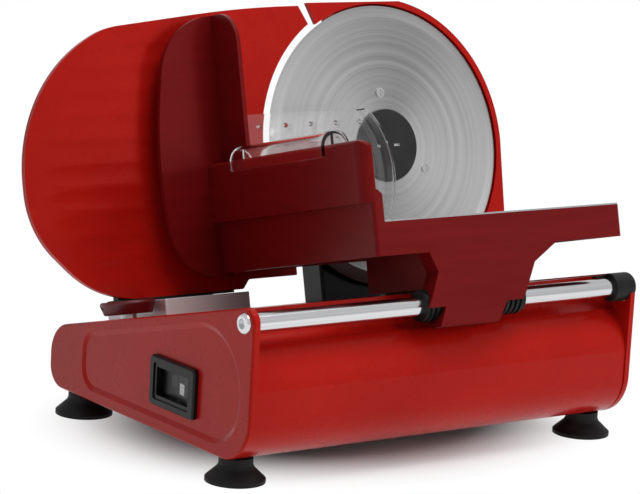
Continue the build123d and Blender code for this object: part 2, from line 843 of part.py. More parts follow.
# ---- Blade with its hub, shaft, wheel and knob ----
recess_floor = blade_run + recess_depth + 1.0
guard_front = blade_run + 1.0
knob_bore = 9.0
rivet_shank = 1.8
rivet_angles = (92, -28, 212)
with BuildPart() as blade:
    with BuildSketch(slice_plane(blade_x)):
        with BuildLine():
            Polyline(
                (blade_run, blade_rise + knob_bore),
                (blade_run, blade_rise + blade_radius - bevel_width),
                (blade_run + bevel_depth, blade_rise + blade_radius),
                (edge_plane, blade_rise + blade_radius - 0.4),
                (edge_plane, blade_rise + knob_bore),
                close=True,
            )
        make_face()
    blade_axis_origin = upright(0).from_local_coords((blade_x, blade_rise, 0))
    blade_axis = Axis(blade_axis_origin, front_frame.z_dir)
    revolve(axis=blade_axis)
    for rivet_angle in rivet_angles:
        drum(blade_x + rivet_circle * cos(radians(rivet_angle)),
             blade_rise + rivet_circle * sin(radians(rivet_angle)),
             rivet_shank + 0.2, (blade_run - 1, edge_plane + 1), Mode.SUBTRACT)
save(blade.part, "blade")

hub_back = edge_plane + hub_thickness
with BuildPart() as blade_hub:
    drum(blade_x, blade_rise, hub_radius, (edge_plane, hub_back))
    drum(blade_x, blade_rise, knob_bore - running, (blade_run + 0.6, edge_plane))
    drum(blade_x, blade_rise, shaft_radius, (edge_plane - 1, hub_back + 1), Mode.SUBTRACT)
    drum(blade_x, blade_rise, 3, (blade_run, edge_plane), Mode.SUBTRACT)
save(blade_hub.part, "blade_hub")

with BuildPart() as blade_rivets:
    for rivet_angle in rivet_angles:
        rivet_x = blade_x + rivet_circle * cos(radians(rivet_angle))
        rivet_rise = blade_rise + rivet_circle * sin(radians(rivet_angle))
        drum(rivet_x, rivet_rise, rivet_radius, (blade_run - 0.8, blade_run))
        drum(rivet_x, rivet_rise, rivet_shank, (blade_run, edge_plane))
        with BuildSketch(upright(blade_run - 0.4)):
            with Locations((rivet_x, rivet_rise)):
                Rectangle(2 * rivet_radius - 2.4, 1.1)
                Rectangle(1.1, 2 * rivet_radius - 2.4)
        extrude(amount=1, mode=Mode.SUBTRACT)
save(blade_rivets.part, "blade_rivets")

knob_slot_pitch = 14.8
with BuildPart() as blade_knob:
    drum(blade_x, blade_rise, knob_radius, (blade_run - knob_proud, blade_run))
    fillet(edges().filter_by(GeomType.CIRCLE).group_by(Axis.Y)[0], 0.9)
    with BuildSketch(upright(blade_run - knob_proud + 0.8)):
        with Locations((blade_x, blade_rise)):
            with GridLocations(knob_slot_pitch, 0, 2, 1):
                SlotOverall(4.6, 1.5)
    extrude(amount=1, mode=Mode.SUBTRACT)
    drum(blade_x, blade_rise, 3 - running, (blade_run - 0.5, edge_plane))
save(blade_knob.part, "blade_knob")

wheel_radius = wheel_teeth * gear_module / 2
shaft_back = wheel_run + wheel_width / 2 + shaft_tail
with BuildPart() as blade_shaft:
    drum(blade_x, blade_rise, shaft_radius, (edge_plane, shaft_back))
save(blade_shaft.part, "blade_shaft")

gap_root_half = 0.95    # half width of a tooth gap at the wheel's root
gap_tip_half = 1.7
thread_root_half = 0.9  # half width of the worm's thread at its core
thread_tip_half = 0.4
wheel_root = wheel_radius - 1.25 * gear_module
wheel_tip = wheel_radius + 0.8 * gear_module
tooth_pitch = pi * gear_module
with BuildPart() as worm_wheel:
    drum(blade_x, blade_rise, wheel_tip, (wheel_run - wheel_width / 2, wheel_run + wheel_width / 2))
    with BuildSketch(upright(wheel_run + wheel_width / 2)):
        with Locations((blade_x, blade_rise)):
            with PolarLocations(wheel_root, wheel_teeth):
                Polygon(
                    (0, -gap_root_half),
                    (wheel_tip - wheel_root + 0.5, -gap_tip_half),
                    (wheel_tip - wheel_root + 0.5, gap_tip_half),
                    (0, gap_root_half),
                    align=None,
                )
    extrude(amount=wheel_width, mode=Mode.SUBTRACT)
    drum(blade_x, blade_rise, 11, (wheel_run - wheel_width / 2 - 3, wheel_run + wheel_width / 2 + 3))
    with BuildSketch(upright(wheel_run + wheel_width / 2 + 4)):
        with Locations((blade_x, blade_rise)):
            with PolarLocations(22, 6):
                Circle(5)
    extrude(amount=wheel_width + 8, mode=Mode.SUBTRACT)
    drum(blade_x, blade_rise, shaft_radius, (wheel_run - wheel_width, wheel_run + wheel_width), Mode.SUBTRACT)
save(worm_wheel.part, "worm_wheel")

# ---- Guard, tower and drive ----
motor_x = blade_x + wheel_radius + worm_radius
tower_top = guard_bottom


def guard_outline(shrink=0.0):
    """Front view of the guard's pan; its left side stays behind the blade."""
    left = guard_left_radius - shrink
    right = guard_radius - shrink
    top = guard_top - shrink
    low = guard_bottom + shrink
    edge_x = blade_x - guard_edge + shrink
    edge_rise = blade_rise + sqrt(left**2 - (blade_x - edge_x) ** 2)
    low_x = blade_x - sqrt(left**2 - (low - blade_rise) ** 2)
    flat_end = blade_x + sqrt(right**2 - (top - blade_rise) ** 2)
    with BuildLine() as outline:
        Line((edge_x, top), (flat_end, top))
        ThreePointArc(
            (flat_end, top),
            (blade_x + right * cos(radians(40)), blade_rise + right * sin(radians(40))),
            (blade_x + right, blade_rise),
        )
        Line((blade_x + right, blade_rise), (blade_x + right - 3, low))
        Line((blade_x + right - 3, low), (low_x, low))
        ThreePointArc((low_x, low), (blade_x - left, blade_rise), (edge_x, edge_rise))
        Line((edge_x, edge_rise), (edge_x, top))
    make_face(outline.edges())


corner_flange = 3.0     # thin corner of the guard beside the fence's tip
guard_back = guard_front + guard_depth
front_bush_length = 10.0
bush_wall = 2.5
boss_radius = 12.0
with BuildPart() as blade_guard:
    with BuildSketch(upright(guard_back)):
        guard_outline()
    extrude(amount=guard_depth)
    with BuildSketch(upright(guard_front + corner_flange)):
        Polygon(
            (blade_x - 54.3, guard_top),
            (blade_x - 47.7, guard_top - 15.8),
            (blade_x - guard_edge + 2, guard_top - 15.8),
            (blade_x - guard_edge + 2, guard_top),
            align=None,
        )
    extrude(amount=corner_flange)
    drum(blade_x, blade_rise, blade_radius + 1.4, (guard_front - 1, recess_floor), Mode.SUBTRACT)
    with BuildSketch(upright(guard_back)):
        guard_outline(guard_wall)
        with Locations((blade_x, blade_rise)):
            Circle(boss_radius, mode=Mode.SUBTRACT)
    extrude(amount=guard_back - recess_floor - guard_wall, mode=Mode.SUBTRACT)
    drum(blade_x, blade_rise, boss_radius + 1, (recess_floor + guard_wall + front_bush_length, guard_back),
         Mode.SUBTRACT)
    drum(blade_x, blade_rise, shaft_radius + bush_wall, (recess_floor - 1, guard_back), Mode.SUBTRACT)
save(blade_guard.part, "blade_guard")

with BuildPart() as front_bush:
    drum(blade_x, blade_rise, shaft_radius + bush_wall,
         (recess_floor, recess_floor + guard_wall + front_bush_length))
    drum(blade_x, blade_rise, shaft_radius + running, (recess_floor - 1, guard_back), Mode.SUBTRACT)
save(front_bush.part, "front_bush")

back_plate_gauge = 2.0
with BuildPart() as guard_back_plate:
    with BuildSketch(upright(guard_back)):
        guard_outline(guard_wall + seam)
        with Locations((blade_x, blade_rise)):
            Circle(boss_radius + 4, mode=Mode.SUBTRACT)
    extrude(amount=back_plate_gauge)
save(guard_back_plate.part, "guard_back_plate")

tower_back = tower_front + tower_depth
motor_run = wheel_run
with BuildPart() as tower_foot:
    block((tower_left, tower_right), (tower_front, tower_back), (deck_rise, tower_top - seam))
    fillet(edges().filter_by(deck_normal).group_by(Axis.Y)[0], 2)
    block((tower_left + tower_wall, tower_right - tower_wall), (tower_front + tower_wall, tower_back + 1),
          (deck_rise + tower_wall, tower_top - seam - tower_wall), Mode.SUBTRACT)
    block((inner_half - sliding, tower_right + 1), (tower_front - 1, tower_back + 1),
          (deck_rise - 1, ear_radius + sliding), Mode.SUBTRACT)
    post(motor_x, motor_run, motor_radius + 1.5, (motor_bottom - 3, tower_top + 1), Mode.SUBTRACT)
save(tower_foot.part, "tower_foot")

with BuildPart() as tower_screws:
    for screw_x in (tower_left + 12, (tower_left + tower_right) / 2, tower_right - 12):
        screw_run = tower_front + tower_depth / 2 + 2
        post(screw_x, screw_run, 3.5, (deck_rise + tower_wall, deck_rise + tower_wall + 2.4))
save(tower_screws.part, "tower_screws")

cover_front = tower_back + seam
cover_back = cover_front + cover_depth
cover_bottom = ear_radius + sliding


def cover_outline(shrink=0.0):
    """Back view of the rear cover: round over the wheel, square over the motor."""
    with Locations((blade_x, blade_rise)):
        Circle(cover_radius - shrink)
    left = cover_left + shrink
    right = tower_right - shrink
    low = cover_bottom + shrink
    top = cover_top - shrink
    with Locations(((left + right) / 2, (low + top) / 2)):
        RectangleRounded(right - left, top - low, 6 - shrink)


rear_bush_length = 8.0
vent_count = 7
with BuildPart() as rear_cover:
    with BuildSketch(upright(cover_back)):
        cover_outline()
    extrude(amount=cover_depth)
    with BuildSketch(upright(cover_back - cover_wall)):
        cover_outline(cover_wall)
        with Locations((blade_x, blade_rise)):
            Circle(boss_radius, mode=Mode.SUBTRACT)
    extrude(amount=cover_depth, mode=Mode.SUBTRACT)
    drum(blade_x, blade_rise, boss_radius + 1,
         (cover_front - 1, cover_back - cover_wall - rear_bush_length), Mode.SUBTRACT)
    drum(blade_x, blade_rise, shaft_radius + bush_wall,
         (cover_front - 1, cover_back - cover_wall), Mode.SUBTRACT)
    with BuildSketch(upright(cover_back)):
        with Locations((motor_x - 8, 44)):
            with GridLocations(0, 6.5, 1, vent_count):
                SlotOverall(38, 2.6)
    extrude(amount=cover_wall, mode=Mode.SUBTRACT)
save(rear_cover.part, "rear_cover")

with BuildPart() as rear_bush:
    drum(blade_x, blade_rise, shaft_radius + bush_wall,
         (cover_back - cover_wall - rear_bush_length, cover_back - cover_wall))
    drum(blade_x, blade_rise, shaft_radius + running, (cover_front, cover_back), Mode.SUBTRACT)
save(rear_bush.part, "rear_bush")

motor_top = motor_bottom + motor_length
motor_shaft_radius = 2.0
with BuildPart() as motor_can:
    post(motor_x, motor_run, motor_radius, (motor_bottom, motor_top))
    post(motor_x, motor_run, motor_radius - 1.5, (motor_bottom - 1, motor_top - 1.5), Mode.SUBTRACT)
    post(motor_x, motor_run, 4.5, (motor_top - 2, motor_top + 1), Mode.SUBTRACT)
save(motor_can.part, "motor_can")

motor_cap_height = 3.0
with BuildPart() as motor_end_cap:
    post(motor_x, motor_run, motor_radius, (motor_bottom - motor_cap_height, motor_bottom))
    post(motor_x, motor_run, motor_shaft_radius + running,
         (motor_bottom - 1.5, motor_bottom + 1), Mode.SUBTRACT)
save(motor_end_cap.part, "motor_end_cap")

bracket_gauge = 2.0
bracket_half = motor_radius - 1.0
with BuildPart() as motor_bracket:
    block((motor_x - bracket_half, motor_x + bracket_half),
          (guard_back + seam, motor_run + motor_radius - 2), (motor_top, motor_top + bracket_gauge))
    block((motor_x - bracket_half, motor_x + bracket_half),
          (guard_back, guard_back + bracket_gauge), (motor_top, motor_top + 12))
    post(motor_x, motor_run, 4.5, (motor_top - 1, motor_top + bracket_gauge + 1), Mode.SUBTRACT)
    roller(motor_run, blade_rise, 0.5, (0, 1), Mode.SUBTRACT)
save(motor_bracket.part, "motor_bracket")

worm_low = blade_rise - worm_length / 2
worm_high = blade_rise + worm_length / 2
worm_core = worm_radius - 1.25 * gear_module
thread_tip = worm_radius + 0.8 * gear_module
rotor_gap = 1.2
with BuildPart() as motor_rotor:
    post(motor_x, motor_run, motor_shaft_radius, (motor_bottom - 1.2, worm_high + 7))
    post(motor_x, motor_run, motor_radius - 1.5 - rotor_gap, (motor_bottom + 9, motor_top - 6))
    post(motor_x, motor_run, 6, (motor_bottom + 2, motor_bottom + 8))
save(motor_rotor.part, "motor_rotor")

thread_turns = 4
thread_length = thread_turns * tooth_pitch
thread_start = blade_rise - thread_length / 2 - tooth_pitch / 4
with BuildPart() as worm:
    post(motor_x, motor_run, worm_core, (worm_low, worm_high))
    thread_centre = level(thread_start).from_local_coords((motor_x, motor_run, 0))
    with BuildLine():
        thread_path = Helix(
            pitch=tooth_pitch, height=thread_length, radius=worm_core,
            center=thread_centre, direction=deck_frame.z_dir,
        )
    thread_plane = Plane(
        origin=thread_path @ 0, x_dir=(thread_path @ 0) - thread_centre, z_dir=thread_path % 0
    )
    with BuildSketch(thread_plane):
        Polygon(
            (-0.6, -thread_root_half),
            (thread_tip - worm_core, -thread_tip_half),
            (thread_tip - worm_core, thread_tip_half),
            (-0.6, thread_root_half),
            align=None,
        )
    sweep(path=thread_path, is_frenet=True)
    post(motor_x, motor_run, motor_shaft_radius, (worm_low - 1, worm_high + 1), Mode.SUBTRACT)
save(worm.part, "worm")

end_block_rise = worm_high + 3.0
with BuildPart() as worm_end_bearing:
    block((motor_x - 7, motor_x + 7), (guard_back, motor_run + 6), (end_block_rise, end_block_rise + 5))
    post(motor_x, motor_run, motor_shaft_radius + running, (end_block_rise - 1, end_block_rise + 6),
         Mode.SUBTRACT)
save(worm_end_bearing.part, "worm_end_bearing")

with BuildPart() as cover_screws:
    screw_places = [(cover_left + 6, cover_bottom + 6), (tower_right - 6, cover_bottom + 6),
                    (tower_right - 6, cover_top - 6), (blade_x - cover_radius + 9, blade_rise)]
    for screw_x, screw_rise in screw_places:
        drum(screw_x, screw_rise, 3.2, (cover_back, cover_back + 1.4))
save(cover_screws.part, "cover_screws")

# ---- Food carriage ----
shield_back = shield_run + shield_thickness
fin_front = shield_run - fin_depth
with BuildSketch(upright(shield_back)) as band_section:
    with BuildLine():
        FilletPolyline(
            (band_left, band_bottom),
            (band_right, band_bottom),
            (band_right, band_top),
            (band_left, band_top),
            radius=[0, 0, 6, 2.5],
            close=True,
        )
    make_face()
with BuildSketch(level(band_bottom - 1)) as band_plan:
    with BuildLine():
        FilletPolyline(
            (band_left, shield_back + 1),
            (band_left, lip_front),
            (band_right, lip_front),
            (band_right, shield_back + 1),
            radius=[0, band_corner, 1.2, 0],
            close=True,
        )
    make_face()
with BuildSketch(slice_plane(band_left - 1)) as band_side:
    with BuildLine():
        FilletPolyline(
            (lip_front, band_bottom),
            (lip_front, band_top),
            (shield_back + 1, band_top),
            (shield_back + 1, band_bottom),
            radius=[1, 6, 0, 0],
            close=True,
        )
    make_face()
with BuildPart() as carriage_frame:
    # upper band, proud of the wall on the left: three rounded outlines meet in it
    extrude(band_section.sketch, amount=shield_back - lip_front)
    extrude(band_plan.sketch, amount=band_top - band_bottom + 2, mode=Mode.INTERSECT)
    extrude(band_side.sketch, amount=band_thickness + 2, mode=Mode.INTERSECT)
    # lower wall, with a sloped step on the side of the tray
    with BuildSketch(level(lip_bottom)):
        with BuildLine():
            FilletPolyline(
                (wall_left, tray_back),
                (wall_left, lip_front),
                (wall_right, lip_front),
                (wall_right, tray_back),
                radius=[0, 2.5, 0, 0],
                close=True,
            )
        make_face()
    extrude(amount=band_bottom + 0.5 - lip_bottom)
    with BuildSketch(upright(shield_back)):
        Polygon(
            (band_right - 1, band_bottom),
            (wall_right, band_bottom),
            (wall_right, step_rise),
            (band_right, step_rise + step_height),
            (band_right - 1, step_rise + step_height),
            align=None,
        )
    extrude(amount=shield_back - lip_front)
    # tray: top skin with skirts
    block((wall_right, tray_right), (lip_front, tray_back), (lip_bottom, tray_top))
    block((wall_right, tray_right - skin), (lip_front + skin, tray_back - skin),
          (lip_bottom - 1, tray_top - skin), Mode.SUBTRACT)
    # hand guard
    with BuildSketch(upright(shield_back)):
        with BuildLine():
            FilletPolyline(
                (wall_right, shield_bottom),
                (shield_left + 9.9, shield_bottom),
                (shield_left, 104.8),
                (shield_left + 16.1, shield_top + 1.3),
                (wall_right + 3, shield_top),
                (wall_right + 3, lip_bottom),
                (wall_right, lip_bottom),
                radius=[36, 287, 43, 0, 0],
            )
            Line((wall_right, lip_bottom), (wall_right, shield_bottom))
        make_face()
    extrude(amount=shield_thickness)
    # upright fin between hand guard and wall
    with BuildSketch(slice_plane(wall_right)):
        with BuildLine():
            FilletPolyline(
                (shield_run, band_top - 12),
                (fin_front, band_top - 12),
                (fin_front, shield_top),
                (shield_run, shield_top),
                radius=[0, 20],
            )
            Line((shield_run, shield_top), (shield_run, band_top - 12))
        make_face()
    extrude(amount=skin)
    tray_corner = edges().filter_by(deck_normal).sort_by(Axis.X)[-2:].sort_by(Axis.Y)[:1]
    fillet(tray_corner, 2.5)
save(carriage_frame.part, "carriage_frame")

with BuildPart() as tray_plate:
    block((wall_right + seam, tray_right - 1), (lip_front + 0.8, tray_back - 0.5),
          (tray_top, tray_top + plate_thickness))
    block((wall_right, wall_right + skin + seam), (shield_run - seam, tray_back + 1),
          (tray_top - 1, tray_top + plate_thickness + 1), Mode.SUBTRACT)
save(tray_plate.part, "tray_plate")

foot_x = tray_right - 154.9
foot_back = 60.0
foot_clear = 1.6
foot_floor = -13.4
notch_rise = -1.5
box_left = foot_x + 5.7
box_right = foot_x + 81.4
left_bush_end = foot_x - left_bush_overhang
right_bush_end = left_bush_end + bush_span
foot_lobe = trough_radius - 2.2
with BuildPart() as slide_foot:
    with BuildSketch(upright(0)):
        with BuildLine():
            Polyline(
                (foot_x, lip_bottom),
                (box_left, 19.9),
                (foot_x - 3.6, notch_rise),
                (foot_x + 8.9, notch_rise),
                (foot_x + 3.7, foot_floor),
                (foot_x + 48.9, foot_floor),
                (foot_x + 56.8, notch_rise),
                (foot_x + 69.4, notch_rise),
                (foot_x + 71.8, 1.8),
                (box_right, 20.7),
                (foot_x + 100.2, lip_bottom),
                close=True,
            )
        make_face()
    extrude(amount=-lip_front)
    # behind the rod the foot follows the trough, and above the deck it runs back as a box
    with BuildSketch(slice_plane(foot_x + 8.9)):
        with Locations((0, 0)):
            Circle(foot_lobe)
        with Locations((0, 0)):
            Rectangle(2 * foot_lobe, 2 * foot_lobe, align=(Align.MAX, Align.CENTER), mode=Mode.SUBTRACT)
    extrude(amount=47.9)
    block((box_left, box_right), (-0.01, foot_back), (deck_rise + foot_clear, lip_bottom))
    block((box_left + skin, box_right - skin), (trough_radius - 0.5, foot_back - skin),
          (deck_rise, lip_bottom - skin), Mode.SUBTRACT)
    roller(0, 0, bush_radius + running, (left_bush_end - 6, left_bush_end + left_bush_length), Mode.SUBTRACT)
    roller(0, 0, bush_radius + running, (right_bush_end - right_bush_length, right_bush_end + 30),
           Mode.SUBTRACT)
    roller(0, 0, rod_radius + 1, (left_bush_end - 30, right_bush_end + 30), Mode.SUBTRACT)
save(slide_foot.part, "slide_foot")


rib_first = 3.6
rib_pitch = 3.8


def rod_bush(outer_end, length, side):
    """Ribbed bush in the foot; side is -1 when its collar is at the left end."""
    inner_end = outer_end - side * length
    roller(0, 0, bush_radius - 1.2, (min(outer_end, inner_end), max(outer_end, inner_end)))
    for rib in range(4):
        rib_place = outer_end - side * (rib_first + rib_pitch * rib)
        roller(0, 0, bush_radius, (rib_place - 0.9, rib_place + 0.9))


with BuildPart() as left_rod_bush:
    rod_bush(left_bush_end, left_bush_length, -1)
    roller(0, 0, collar_radius, (left_bush_end, left_bush_end + 2.4))
    roller(0, 0, rod_radius + running, (left_bush_end - 1, right_bush_end), Mode.SUBTRACT)
save(left_rod_bush.part, "left_rod_bush")

with BuildPart() as right_rod_bush:
    rod_bush(right_bush_end, right_bush_length, 1)
    roller(0, 0, rod_radius + running, (left_bush_end, right_bush_end + 1), Mode.SUBTRACT)
save(right_rod_bush.part, "right_rod_bush")

shoe_depth = 6.0
shoe_clear = 0.1
with BuildPart() as glide_shoe:
    block((box_left + 2 * skin, box_right - 2 * skin), (foot_back - shoe_depth - skin, foot_back - skin),
          (deck_rise + shoe_clear, lip_bottom - skin))
save(glide_shoe.part, "glide_shoe")

with BuildPart() as carriage_screws:
    for screw_x in (box_left + 16.6, box_right - 17.1):
        post(screw_x, foot_back - 26, 3.4, (lip_bottom - skin - 2.2, lip_bottom - skin))
save(carriage_screws.part, "carriage_screws")

# ---- Clear pusher on the wall ----
arch_x = (band_left + band_right) / 2 + 1.2
arch_rise = band_top + sliding - 2.2
skirt_bottom = 95.0
saddle_back = saddle_front + saddle_length
plate_back = shield_run - 1.0
web_left = wall_right + skin + sliding + 0.8
pusher_right = wall_right + pusher_width
plate_low = tray_top + 2.4
spike_count = 5
spike_inset = 24.6
spike_pitch = (pusher_width - spike_inset - 21.0) / (spike_count - 1)
spike_rise = pusher_top - 7.8


def pusher_face(inward):
    """Front view of the clear plate; inward moves only its top end and its curved right edge."""
    right = pusher_right - inward
    with BuildSketch(upright(plate_back)) as flat:
        with BuildLine():
            Polyline(
                (right - 9, plate_low - 0.01 * inward),
                (web_left, plate_low - 0.01 * inward),
                (web_left, pusher_top),
                (right - 18.5, pusher_top),
            )
            ThreePointArc((right - 18.5, pusher_top), (right - 3.4, pusher_top - 22.5),
                          (right, plate_low + 31.4))
            ThreePointArc((right, plate_low + 31.4), (right - 2.6, plate_low + 16.4),
                          (right - 9, plate_low - 0.01 * inward))
        make_face()
    return flat.sketch


with BuildPart() as pusher:
    # plate that holds the food, and the rim along its right edge
    extrude(pusher_face(0), amount=pusher_thickness + pusher_rim_depth)
    extrude(pusher_face(pusher_rim_wall), amount=pusher_thickness + pusher_rim_depth, mode=Mode.SUBTRACT)
    extrude(pusher_face(0), amount=pusher_thickness)
    # arch over the wall
    with BuildSketch(upright(saddle_back)):
        with Locations((arch_x, arch_rise)):
            Circle(arch_radius)
            Rectangle(2 * arch_radius, arch_rise - skirt_bottom, align=(Align.CENTER, Align.MAX))
            Circle(arch_radius - arch_wall, mode=Mode.SUBTRACT)
            Rectangle(2 * (arch_radius - arch_wall), 20, align=(Align.CENTER, Align.MAX), mode=Mode.SUBTRACT)
    extrude(amount=saddle_length)
    # bead round the front end of the arch
    with BuildSketch(upright(saddle_front + 3)):
        with Locations((arch_x, arch_rise)):
            Circle(arch_radius + 0.6)
            Rectangle(2 * arch_radius + 1.2, arch_rise - skirt_bottom, align=(Align.CENTER, Align.MAX))
            Circle(arch_radius - 0.5, mode=Mode.SUBTRACT)
            Rectangle(2 * arch_radius - 1, 30, align=(Align.CENTER, Align.MAX), mode=Mode.SUBTRACT)
    extrude(amount=3)
    # keel under the crown, which rests on the wall
    block((arch_x - 1, arch_x + 1), (saddle_front + 3, saddle_back - 3),
          (band_top + 0.1, arch_rise + arch_radius - 1))
    block((arch_x + arch_radius - arch_wall, web_left + pusher_rim_wall), (saddle_front + 40, saddle_back),
          (skirt_bottom, arch_rise))
    block((web_left, web_left + pusher_rim_wall), (saddle_front + 40, plate_back), (skirt_bottom, arch_rise))
    for spike in range(spike_count):
        with BuildSketch(upright(plate_back)):
            with Locations((web_left + spike_inset + spike_pitch * spike, spike_rise)):
                Circle(1.7)
        extrude(amount=-4, taper=18)
save(pusher.part, "pusher")
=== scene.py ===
"""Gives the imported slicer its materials, and adds the camera, the floor and the light.

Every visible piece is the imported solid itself. Lengths are in metres in the frame's own axes
(+X right, +Y back, +Z up), and places on the tilted deck are given in millimetres.
"""

import json
import math

import bpy
from mathutils import Matrix, Vector

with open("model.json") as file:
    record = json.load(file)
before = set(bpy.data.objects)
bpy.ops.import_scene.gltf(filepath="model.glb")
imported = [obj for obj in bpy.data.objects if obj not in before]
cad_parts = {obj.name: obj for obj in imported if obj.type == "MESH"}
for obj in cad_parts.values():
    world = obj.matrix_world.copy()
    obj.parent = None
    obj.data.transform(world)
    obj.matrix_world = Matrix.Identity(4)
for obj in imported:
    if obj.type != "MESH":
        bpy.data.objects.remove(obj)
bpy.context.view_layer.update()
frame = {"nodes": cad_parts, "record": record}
nodes = frame["nodes"]

# ---- The tilted deck's coordinates: x, run back along the deck, rise square to it ----
TILT = math.radians(14.5)
ROD = Vector((0.0, -0.1188, 0.1004))  # middle of the slide rod, from which run and rise count
ACROSS = Vector((1.0, 0.0, 0.0))
BACK = Vector((0.0, math.cos(TILT), -math.sin(TILT)))
UP = Vector((0.0, math.sin(TILT), math.cos(TILT)))


def deck(x, run, rise):
    """Point in the frame, in metres, from deck coordinates in millimetres."""
    return Vector((x / 1000, 0, 0)) + ROD + BACK * (run / 1000) + UP * (rise / 1000)


BLADE_CENTRE = deck(89.4, 163.0, 108.5)
SLOT_OFFSET = 0.0074  # the two slots of the blade's knob lie this far from its middle
SLOT_HALF = (0.0023, 0.0008, 1.0)
PAINTED_SHEEN_ANGLE = math.radians(-25)  # slant of the two painted highlight sectors on the blade
ROCKER_FACE = -0.1435  # x of the rocker's visible face
MARK_REACH = 0.02  # a mark colours the rocker this far to both sides of that face
RELIEF_DEPTH = 0.0001


# ---- How a material is put together ----
class Nodes:
    """A small material builder, so that each material below reads as a list of its layers."""

    def __init__(self, name):
        self.material = bpy.data.materials.new(name)
        self.material.use_nodes = True
        self.tree = self.material.node_tree
        self.shader = self.tree.nodes["Principled BSDF"]
        self.position = self.add("ShaderNodeNewGeometry").outputs["Position"]

    def add(self, kind, **values):
        node = self.tree.nodes.new(kind)
        for key, value in values.items():
            setattr(node, key, value)
        return node

    def link(self, source, socket):
        self.tree.links.new(source, socket)

    def set(self, **values):
        """Constants of the shader, named as its sockets are, with _ for a space."""
        for key, value in values.items():
            self.shader.inputs[key.replace("_", " ")].default_value = value

    def feed(self, node, values):
        """Gives a node's inputs, in order, either a constant or another node's output."""
        for socket, value in zip(node.inputs, values):
            if isinstance(value, bpy.types.NodeSocket):
                self.link(value, socket)
            else:
                socket.default_value = value

    def math(self, operation, *values):
        node = self.add("ShaderNodeMath", operation=operation)
        self.feed(node, values)
        return node.outputs[0]

    def vector(self, operation, *values):
        node = self.add("ShaderNodeVectorMath", operation=operation)
        self.feed(node, values)
        single = operation in ("DOT_PRODUCT", "LENGTH")
        return node.outputs["Value" if single else "Vector"]

    def grain(self, scale, detail):
        """Even noise over the piece."""
        return self.noise(self.position, scale, detail)

    def streaks(self, stretch, detail, scale=1.0):
        """Noise drawn out along the axes with a small stretch value."""
        node = self.add("ShaderNodeMapping")
        node.inputs["Scale"].default_value = stretch
        self.link(self.position, node.inputs["Vector"])
        return self.noise(node.outputs["Vector"], scale, detail)

    def noise(self, vector, scale, detail):
        node = self.add("ShaderNodeTexNoise")
        node.inputs["Scale"].default_value = scale
        node.inputs["Detail"].default_value = detail
        self.link(vector, node.inputs["Vector"])
        return node.outputs["Fac"]

    def rings(self, reach, per_metre, detail):
        """Noise that changes only with the distance from an axis."""
        node = self.add("ShaderNodeTexNoise", noise_dimensions="1D")
        node.inputs["Scale"].default_value = 1.0
        node.inputs["Detail"].default_value = detail
        self.link(self.math("MULTIPLY", reach, per_metre), node.inputs["W"])
        return node.outputs["Fac"]

    def blend(self, value, low, high, span=(0.3, 0.7)):
        """Colour that runs from low to high while the value crosses the span."""
        node = self.add("ShaderNodeValToRGB")
        for element, place, colour in zip(node.color_ramp.elements, span, (low, high)):
            element.position = place
            element.color = (*colour, 1.0)
        self.link(value, node.inputs["Fac"])
        return node.outputs["Color"]

    def colour(self, value, low, high, span=(0.3, 0.7)):
        self.link(self.blend(value, low, high, span), self.shader.inputs["Base Color"])

    def roughness(self, value, low, high):
        node = self.add("ShaderNodeMapRange")
        node.inputs["To Min"].default_value = low
        node.inputs["To Max"].default_value = high
        self.link(value, node.inputs["Value"])
        self.link(node.outputs["Result"], self.shader.inputs["Roughness"])

    def relief(self, height, strength):
        node = self.add("ShaderNodeBump")
        node.inputs["Strength"].default_value = strength
        node.inputs["Distance"].default_value = RELIEF_DEPTH
        self.link(height, node.inputs["Height"])
        self.link(node.outputs["Normal"], self.shader.inputs["Normal"])

    def inside(self, vector, middle, half):
        """One inside a box given by its middle and half sizes, and zero outside it."""
        split = self.add("ShaderNodeSeparateXYZ")
        apart = self.vector("ABSOLUTE", self.vector("SUBTRACT", vector, middle))
        self.link(apart, split.inputs[0])
        near = [self.math("LESS_THAN", split.outputs[axis], half[axis]) for axis in range(3)]
        return self.math("MULTIPLY", self.math("MULTIPLY", near[0], near[1]), near[2])


# ---- Materials ----
def red_paint():
    b = Nodes("red_paint")
    b.set(Roughness=0.3, Coat_Weight=0.06, Coat_Roughness=0.1, Specular_IOR_Level=0.3)
    b.set(Specular_Tint=(1.0, 0.22, 0.16, 1.0))
    b.colour(b.grain(14, 3), (0.44, 0.007, 0.004), (0.52, 0.010, 0.006))
    b.roughness(b.grain(60, 4), 0.22, 0.34)
    b.relief(b.grain(900, 2), 0.08)
    return b.material


def wine_plastic():
    b = Nodes("wine_plastic")
    b.set(Roughness=0.32, Coat_Weight=0.05, Coat_Roughness=0.15, Specular_IOR_Level=0.28)
    b.set(Specular_Tint=(1.0, 0.25, 0.22, 1.0))
    b.colour(b.streaks((6, 6, 60), 3, 2.5), (0.155, 0.004, 0.005), (0.190, 0.006, 0.007))
    b.roughness(b.grain(90, 4), 0.26, 0.38)
    b.relief(b.grain(1500, 2), 0.06)
    return b.material


def marked_plastic(name, tone, rough, marks):
    """Dark plastic with small printed marks, each a vector, a box in it and a shade of grey."""
    b = Nodes(name)
    b.set(Roughness=rough, Specular_IOR_Level=0.25)
    colour = b.blend(b.grain(45, 4), (tone * 0.8,) * 3, (tone * 1.3, tone * 1.2, tone * 1.3))
    for vector, middle, half, shade in marks(b):
        mix = b.add("ShaderNodeMix", data_type="RGBA")
        b.link(b.inside(vector, middle, half), mix.inputs[0])
        b.link(colour, mix.inputs[6])
        mix.inputs[7].default_value = (shade, shade, shade, 1.0)
        colour = mix.outputs[2]
    b.link(colour, b.shader.inputs["Base Color"])
    b.roughness(b.grain(120, 3), rough - 0.05, rough + 0.07)
    b.relief(b.grain(2600, 2), 0.1)
    return b.material


